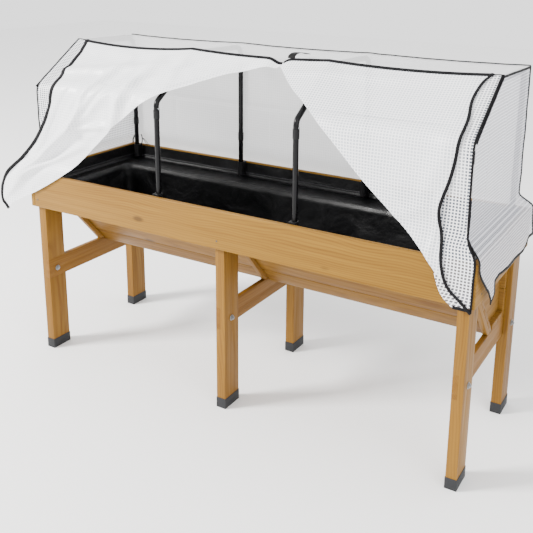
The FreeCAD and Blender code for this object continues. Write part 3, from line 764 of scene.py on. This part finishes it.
def slack(x):
    """0 at a hoop and past the ends, 1 halfway between two hoops."""
    for one, two in zip(HOOPS, HOOPS[1:]):
        if one < x < two:
            share = (x - one) / (two - one)
            return 4.0 * share * (1.0 - share)
    return 0.0


def ridge_drop(x):
    """How far the ridge sags between the hoops, most in the left bay, and dips where the flaps meet."""
    dip = 0.016 * math.exp(-(((x - 0.092) / 0.026) ** 2))
    sag = 0.015 if x < -HOOP_IN else 0.009
    return slack(x) * sag + dip


def crease(x0, s0, x1, s1, wide, high):
    """A fold standing up along a line on the front cloth, given in metres along and shares down."""
    start = Vector((x0, s0 * FLAP_LONG))
    run = Vector((x1, s1 * FLAP_LONG)) - start
    long_run = run.length
    way = run / long_run
    past_end = 0.15

    def height(x, s):
        spot = Vector((x, s * FLAP_LONG)) - start
        along = spot.dot(way) / long_run
        if not -past_end < along < 1.0 + past_end:
            return 0.0
        off = (spot.x * way.y - spot.y * way.x) / (wide * (0.55 + 0.45 * clamp(along)))
        taper = math.sin(math.pi * clamp((along + past_end) / (1.0 + 2.0 * past_end))) ** 0.7
        return high * taper * (1.0 - 0.7 * off * off) * math.exp(-off * off)

    return height


def on_flap(x, s, out, slump):
    """A spot on a flap at x, a share s down it: out stands off its line, slump sags between hoops."""
    tuck = 0.0036
    y, z = flap_line(s)
    z -= ridge_drop(x) * (1.0 - ease(s / 0.35)) + tuck * (1.0 - ease(s / 0.07))
    sag = slack(x) * slump * ease(s / 0.12) * (1.0 - ease((s - 0.3) / 0.25))
    lean = Vector((0.0, -0.8, 0.6)) if s < 0.3 else Vector((0.0, -1.0, 0.0))
    return Vector((x, y, z)) + lean * (out - sag)


def left_flap():
    """Drawn hard to the left and down past the end, so that it creases from its tip up to the hoops."""
    # (share down the flap, place along the trough) of its inner edge and of its free edge
    fold = through(
        [(0.0, 0.098), (0.04, 0.090), (0.105, -0.024), (0.184, -0.130), (0.278, -0.231),
         (0.348, -0.300), (0.476, -0.431), (0.60, -0.545), (0.70, -0.632), (0.785, -0.713),
         (0.876, -0.835), (0.96, -0.965), (1.0, -0.985)]
    )
    free = through(
        [(0.0, -0.800), (0.088, -0.785), (0.28, -0.768), (0.40, -0.775), (0.50, -0.800), (0.617, -0.862),
         (0.746, -0.950), (0.83, -1.000), (0.90, -1.022), (0.96, -1.018), (1.0, -0.995)]
    )
    creases = [
        crease(-0.98, 0.90, -0.53, 0.37, 0.036, 0.020),
        crease(-0.66, 0.55, -0.53, 0.12, 0.030, 0.014),
        crease(-0.46, 0.50, -0.385, 0.12, 0.046, 0.024),
        crease(-0.97, 0.84, -0.64, 0.52, 0.026, 0.017),
        crease(-0.66, 0.545, -0.48, 0.50, 0.020, 0.012),
        crease(-0.82, 0.25, -0.39, 0.12, 0.040, 0.012),
        crease(-0.90, 0.80, -0.62, 0.62, 0.020, 0.012),
        crease(-0.60, 0.46, -0.44, 0.22, 0.026, -0.014),
        crease(-0.80, 0.62, -0.62, 0.26, 0.034, -0.010),
        crease(-1.01, 0.95, -0.84, 0.66, 0.022, 0.012),
        crease(-0.30, 0.30, -0.02, 0.06, 0.020, 0.010),
        crease(-0.36, 0.24, -0.20, 0.05, 0.022, 0.008),
    ]
    # past free_reach from the rim board a fold swells by no more than this
    free_reach = 0.019
    swell = 0.012

    def level(x, s):
        out = sum(fold_up(x, s) for fold_up in creases) * ease(s / 0.10)
        out += 0.0050 * rough(x + s * 0.3, s * FLAP_LONG - x * 0.35, 2.0, 0.10) * ease(s / 0.08)
        out += 0.0045 * (0.3 - abs(rough(x + s * 0.5, s * FLAP_LONG, 7.0, 0.055))) * ease(s / 0.08)
        spot = on_flap(x, s, max(out, -0.004), 0.010)
        beyond = ease((-HALF - x) / 0.16)
        spot.y -= 0.020 * beyond + 0.006 * beyond * rough(s, x, 1.0, 0.05)
        past = FRONT - free_reach - spot.y
        if past > 0.0:
            spot.y = FRONT - free_reach - swell * math.tanh(past / swell)
        return spot

    def spot(u, v):
        return level(mix(fold(v), free(v), u), v)

    def flat(u, v):
        return (mix(fold(v), free(v), u), v * FLAP_LONG)

    flap = surface("left_flap_cloth", spot, 130, 130, flat, left_cloth, "left_flap", "flap_left")
    tape("left_flap_free_edge", down_at(spot, 1.0), down_at(spot, 0.980), 130, "left_flap", 0.015, 0.0045)
    tape("left_flap_ridge_edge", across_at(spot, 0.0), across_at(spot, 0.012), 120, "left_flap", *TOP_TAPE)


def right_flap():
    """Folded back along a slant from the ridge to the bottom corner; the fold lies behind it."""
    # (share down the flap, place along the trough) of the fold and of the free edge
    fold = through(
        [(0.0, 0.106), (0.037, 0.103), (0.179, 0.194), (0.292, 0.295), (0.43, 0.405), (0.57, 0.515),
         (0.70, 0.632), (0.797, 0.716), (0.87, 0.765), (0.919, 0.806), (0.965, 0.846), (1.0, 0.872)]
    )
    free = through(
        [(0.0, 0.818), (0.06, 0.800), (0.151, 0.792), (0.277, 0.806), (0.417, 0.800), (0.511, 0.787),
         (0.636, 0.763), (0.74, 0.776), (0.869, 0.792), (0.923, 0.812), (0.965, 0.850), (1.0, 0.880)]
    )
    creases = [
        crease(0.40, 0.36, 0.72, 0.62, 0.05, 0.004),
        crease(0.70, 0.60, 0.80, 0.28, 0.05, 0.005),
        crease(0.60, 0.68, 0.76, 0.60, 0.03, 0.004),
        crease(0.16, 0.10, 0.62, 0.05, 0.03, 0.005),
        crease(0.74, 0.80, 0.77, 0.55, 0.02, 0.004),
    ]

    def level(x, s, behind=0.0):
        out = sum(fold_up(x, s) for fold_up in creases) * ease(s / 0.10)
        out += 0.0022 * rough(x, s * FLAP_LONG, 4.0, 0.12) * ease(s / 0.08)
        return on_flap(x, s, max(out, -0.003) - behind, 0.008)

    def spot(u, v):
        return level(mix(fold(v), free(v), u), v * RIGHT_SHORT)

    def flat(u, v):
        return (mix(fold(v), free(v), u), v * FLAP_LONG)

    flap = surface("right_flap_cloth", spot, 110, 120, flat, right_cloth, "right_flap", "flap_right")

    # the part folded under, as shares of the flap, and how its threads lie
    under_wide = 0.34
    under_top = 0.04
    under_long = 0.92
    slant_cos, slant_sin = 0.36, 0.93

    def turned_under(u, v):
        share = under_top + under_long * v
        x = mix(fold(share) + 0.0008, mix(fold(share), free(share), under_wide), u)
        return level(x, share * RIGHT_SHORT, 0.0012 + 0.0025 * ease(u / 0.05))

    def turned_flat(u, v):
        """The threads of the part that is folded under run on at the fold's slant."""
        x, s = flat(u * under_wide, under_top + under_long * v)
        return (x * slant_cos + s * slant_sin, s * slant_cos - x * slant_sin)

    under = surface("right_flap_turned_under", turned_under, 50, 100, turned_flat, right_cloth, "right_flap")
    tape("right_flap_free_edge", down_at(spot, 1.0), down_at(spot, 0.985), 120, "right_flap")
    tape("right_flap_ridge_edge", across_at(spot, 0.0), across_at(spot, 0.012), 110, "right_flap", *TOP_TAPE)


def strip_edges(side):
    """A strip's inner and outer edges: the right one hangs straight, the left follows its flap out."""
    if side == "right":
        inner = [(0.0, 0.765), (0.28, 0.765), (0.50, 0.750), (0.636, 0.725), (0.74, 0.742), (0.869, 0.765),
                 (0.93, 0.785), (0.97, 0.818), (1.0, 0.850)]
        outer = [(0.0, HALF), (0.66, HALF), (0.72, HALF + 0.006), (0.78, HALF + 0.033),
                 (0.86, HALF + 0.034), (0.93, HALF + 0.034), (1.0, HALF + 0.033)]
    else:
        inner = [(0.0, 0.765), (0.28, 0.740), (0.50, 0.740), (0.64, 0.790), (0.78, 0.855), (0.90, 0.900),
                 (1.0, 0.905)]
        outer = [(0.0, HALF), (0.50, HALF), (0.64, HALF + 0.004), (0.78, 0.905), (0.90, 0.945), (1.0, 0.950)]
    return through(inner), through(outer)


def front_strip(side, sign):
    """The strip between a flap's free edge and the end panel; the left one ends where its flap hides it."""
    inner, outer = strip_edges(side)
    reach, cut = (RIGHT_SHORT, 0.070) if side == "right" else (0.84, 0.046)

    def spot(u, v):
        v = v * reach
        x = mix(inner(v), outer(v), u)
        y, z = strip_line(v)
        z -= ridge_drop(sign * x) * (1.0 - ease(v / 0.35))
        wave = 0.0016 * rough(x * 3.0, v * FLAP_LONG, 11.0 + sign, 0.06)
        blown = 0.006 * ease((x - HALF) / 0.10) if side == "left" else 0.0
        return Vector((sign * x, y - abs(wave) - blown, z))

    def flat(u, v):
        return (mix(inner(v), outer(v), u), v * FLAP_LONG)

    strip = surface("front_strip_" + side, spot, 16, 120, flat, strip_cloth, "cover", "cover_strip_" + side)
    tape("front_strip_corner_" + side, down_at(spot, 1.0), down_at(spot, 0.9), 120, "cover", wide=0.0065)
    tape("front_strip_hem_" + side, across_at(spot, 1.0), across_at(spot, 0.985), 10, "cover")


def top_height(y):
    """The top's height: it falls a little from the ridge to the back edge."""
    fall = 0.007
    return HOOP_CREST + CLOTH_OFF - (y - CREST_Y) * fall / (HOOP_Y - CREST_Y)


def flare(z):
    """0 where the cover hangs straight from the hoops, 1 where it stands clear of the rim boards."""
    return ease((DROP - z) / (DROP - TURN + 0.004))


def end_cover(side, sign):
    """The end panel, and below it the skirt that flares out over the end board."""
    edge = HOOP_Y + END_OFF
    # the hem's height from the front of the skirt to its back
    hem = through(
        [(0.0, 0.594), (0.07, 0.612), (0.13, 0.640), (0.22, 0.650), (0.36, 0.647), (0.55, 0.640),
         (0.72, 0.638), (0.88, 0.656), (1.0, 0.652)]
    )
    # the share of v above the skirt, and how far back the skirt's front edge is cut at the hem
    waist = 0.45
    swept_back = 0.102
    packed_folds = (0.02, -0.15)

    def spot(u, v):
        if v < waist:
            y = mix(-edge, edge, u)
            if y < RIDGE_Y:
                high = HOOP_BEND + END_OFF * SLOPE_LONG + (y + HOOP_Y) * SLOPE
            else:
                high = top_height(y) - 0.001
            z = mix(high, DROP, v / waist)
            fullness = math.sin(math.pi * v / waist)
            dent = 0.0012 * math.sin(math.pi * u) * fullness
            pressed = sum(math.exp(-(((y - place) / 0.010) ** 2)) for place in packed_folds)
            crumple = 0.0020 * rough(y, z, 20.0 + sign, 0.05)
            x = HALF + END_GAP - dent + abs(crumple) + 0.0022 * pressed * fullness
            return Vector((sign * x, y, z))
        down = (v - waist) / (1.0 - waist)
        z = mix(DROP, hem(u), down)
        wide = flare(z)
        swept = swept_back * ease((RIM - 0.012 - z) / 0.150)
        corner = mix(-edge, FRONT - 0.0025, wide) + swept
        y = mix(corner, mix(edge, BACK + RIM_GAP, wide), u)
        x = mix(HALF + END_GAP, SIDE + 0.0045, wide) + 0.008 * ease((TURN - z) / 0.14)
        x += 0.005 * wide * (0.5 + 0.5 * math.sin(u * 17.0 + 1.0)) * ease((TURN - z) / 0.10)
        x += abs(0.003 * rough(y, z, 30.0 + sign, 0.05)) * wide
        return Vector((sign * x, y, z))

    def flat(u, v):
        place = spot(u, v)
        skew = 0.45 * max(0.0, DROP - place.z)
        return (place.y + skew, place.z)

    panel = surface("end_cloth_" + side, spot, 80, 130, flat, end_cloth, "cover", "cover_end_" + side)

    def skirt_edge(u):
        """The line down the skirt alone at u."""
        return lambda t: spot(u, mix(waist, 1.0, t))

    tape("end_back_edge_" + side, down_at(spot, 1.0), down_at(spot, 0.97), 110, "cover", 0.0075, 0.0055)
    tape("skirt_front_edge_" + side, skirt_edge(0.0), skirt_edge(0.03), 80, "cover", 0.008)
    tape("skirt_hem_" + side, across_at(spot, 1.0), across_at(spot, 0.985), 70, "cover")
    tape("end_top_edge_" + side, across_at(spot, 0.0), across_at(spot, 0.02), 90, "cover", 0.0075, 0.0050)


def back_cover():
    """The back panel: behind the hoops, then out over the back board to a hem."""
    inner = HOOP_Y + BACK_OFF
    outer = BACK + RIM_GAP
    top = top_height(inner) - 0.001
    hem = RIM - 0.106
    line = path([(inner, top), (inner, DROP), (outer, TURN), (outer, hem)], CORNER_REACH)
    # the folds that packing pressed in
    upright_folds = (-0.62, -0.41, -0.14, 0.12, 0.42, 0.66)
    level_fold = 0.985
    fold_high = 0.0030

    def spot(u, v):
        y, z = line(v)
        half = mix(HALF - 0.0006, SIDE + 0.0040, flare(z))
        x = mix(-half, half, u)
        out = 0.0026 * rough(x, z, 40.0, 0.11) + 0.0012 * rough(x, z * 0.2, 44.0, 0.035)
        for place in upright_folds:
            out += fold_high * math.exp(-(((x - place) / 0.009) ** 2))
        out += fold_high * math.exp(-(((z - level_fold) / 0.008) ** 2))
        belly = slack(x) * 0.0016 * math.sin(math.pi * clamp(v / 0.8))
        skirt = ease((TURN - z) / 0.10) * 0.004 * (0.5 + 0.5 * math.sin(x * 38.0))
        return Vector((x, y + max(out, -0.001) + belly + skirt, z))

    def flat(u, v):
        return (spot(u, v).x, v * line.total)

    panel = surface("back_cloth", spot, 180, 90, flat, back_cloth, "cover", "cover_back")
    tape("back_hem", across_at(spot, 1.0), across_at(spot, 0.985), 180, "cover")


def top_cover():
    """The flat top between the ridge and the back edge, sagging between the hoops."""

    def spot(u, v):
        x = mix(-HALF - END_GAP, HALF + END_GAP, u)
        y = mix(RIDGE_Y + 0.001, BACK_Y - 0.0005, v)
        belly = slack(x) * (0.010 * math.sin(math.pi * clamp(v * 0.92 + 0.04)) + 0.003 * v)
        sag = belly + ridge_drop(x) * (1.0 - ease(v / 0.5))
        wave = 0.0015 * rough(x, y, 50.0, 0.09)
        return Vector((x, y, top_height(y) + 0.0005 - sag - abs(wave)))

    def flat(u, v):
        return spot(u, v).xy

    panel = surface("top_cloth", spot, 180, 36, flat, back_cloth, "cover", "cover_top")
    tape("ridge_edge", across_at(spot, 0.0), across_at(spot, 0.05), 180, "cover", thick=0.0050)
    tape("top_back_edge", across_at(spot, 1.0), across_at(spot, 0.95), 180, "cover", 0.0080, 0.0065)


def ridge_strap():
    """The loop of webbing over the ridge that ties up a rolled flap."""
    low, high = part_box("cover_strap")
    half = (high.x - low.x) / 2
    line = path(
        [(low.y - 0.003, low.z - 0.002), (low.y + 0.001, high.z + 0.006), (low.y + 0.035, high.z + 0.010),
         (high.y - 0.02, high.z + 0.003), (high.y, low.z + 0.002)],
        0.12,
    )

    def run(x):
        return lambda t: Vector((x, *line(t)))

    strap = tape("ridge_tie", run(low.x), run(low.x + half), 30, "cover", 2 * half, 0.0022, webbing)
    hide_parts("cover_strap")


def corner_tie():
    """The short tie that holds the cover down to the bracket at the back left corner."""
    start = Vector((-HOOP_X + TUBE + 0.012, HOOP_Y + 0.004, RIM + 0.030))
    steps = range(7)
    hang = [start + Vector((0.004 * step, -0.0008 * step * step, 0.020 - 0.0062 * step)) for step in steps]
    tube_along("corner_tie_strap", hang, 0.0042, webbing, "cover", "webbing", squash=0.5)
    for number, reach in enumerate((0.030, 0.044), 1):
        loop = []
        for step in range(15):
            t = step / 14
            arch = math.sin(math.pi * t)
            rise = 0.020 * arch * (1 - 0.4 * t) - 0.030 * t
            loop.append(start + Vector((0.006 + reach * t, 0.002 - 0.010 * arch, rise)))
        tube_along("corner_tie_cord_%d" % number, loop, 0.0011, webbing, "cover", "webbing")


left_flap()
right_flap()
for side, sign in (("left", -1), ("right", 1)):
    front_strip(side, sign)
for side, sign in (("left", -1), ("right", 1)):
    end_cover(side, sign)
back_cover()
top_cover()
ridge_strap()
corner_tie()


# ---------------------------------------------------------------- stage, light and camera
def stage():
    mesh = bpy.data.meshes.new("floor")
    reach = 12.0
    corners = [(-reach, -reach, 0), (reach, -reach, 0), (reach, reach, 0), (-reach, reach, 0)]
    mesh.from_pydata(corners, [], [(0, 1, 2, 3)])
    floor = link("floor", mesh)
    material, _, shader = new_material("floor")
    shader.inputs["Base Color"].default_value = (0.93, 0.93, 0.93, 1.0)
    shader.inputs["Roughness"].default_value = 0.9
    floor.data.materials.append(material)


def light(name, spot, aim, size, power, colour=(1.0, 1.0, 1.0)):
    data = bpy.data.lights.new(name, "AREA")
    data.size = size
    data.energy = power
    data.color = colour
    lamp = link(name, data)
    lamp.location = spot
    lamp.rotation_euler = (Vector(aim) - Vector(spot)).to_track_quat("-Z", "Y").to_euler()


def camera():
    """From the front right, a little above the cover, on a shifted lens that keeps the legs near upright."""
    turn = math.radians(30.39)
    tilt = math.radians(14.67)
    roll = math.radians(0.705)
    ahead = Vector((-math.sin(turn) * math.cos(tilt), math.cos(turn) * math.cos(tilt), -math.sin(tilt)))
    level = Vector((math.cos(turn), math.sin(turn), 0.0))
    upright = level.cross(ahead)
    right = level * math.cos(roll) + upright * math.sin(roll)
    up = upright * math.cos(roll) - level * math.sin(roll)
    data = bpy.data.cameras.new("camera")
    data.lens = 52.56
    data.sensor_width = 36.0
    data.shift_x = -0.0327
    data.shift_y = -0.2014
    eye = link("camera", data)
    axes = Matrix((right, up, -ahead)).transposed().to_4x4()
    axes.translation = Vector((1.4364, -2.3111, 1.5717))
    eye.matrix_world = axes
    bpy.context.scene.camera = eye


def studio():
    world = bpy.data.worlds.new("studio")
    world.use_nodes = True
    sky = world.node_tree.nodes["Background"]
    sky.inputs["Color"].default_value = (1.0, 1.0, 1.0, 1.0)
    sky.inputs["Strength"].default_value = 1.9
    bpy.context.scene.world = world
    light("key", (-4.6, -4.2, 4.4), (0.0, 0.0, 0.8), 1.6, 1250.0, (1.0, 0.985, 0.96))
    light("fill", (3.4, -2.2, 2.4), (0.0, 0.0, 0.7), 2.8, 70.0)


stage()
studio()
camera()
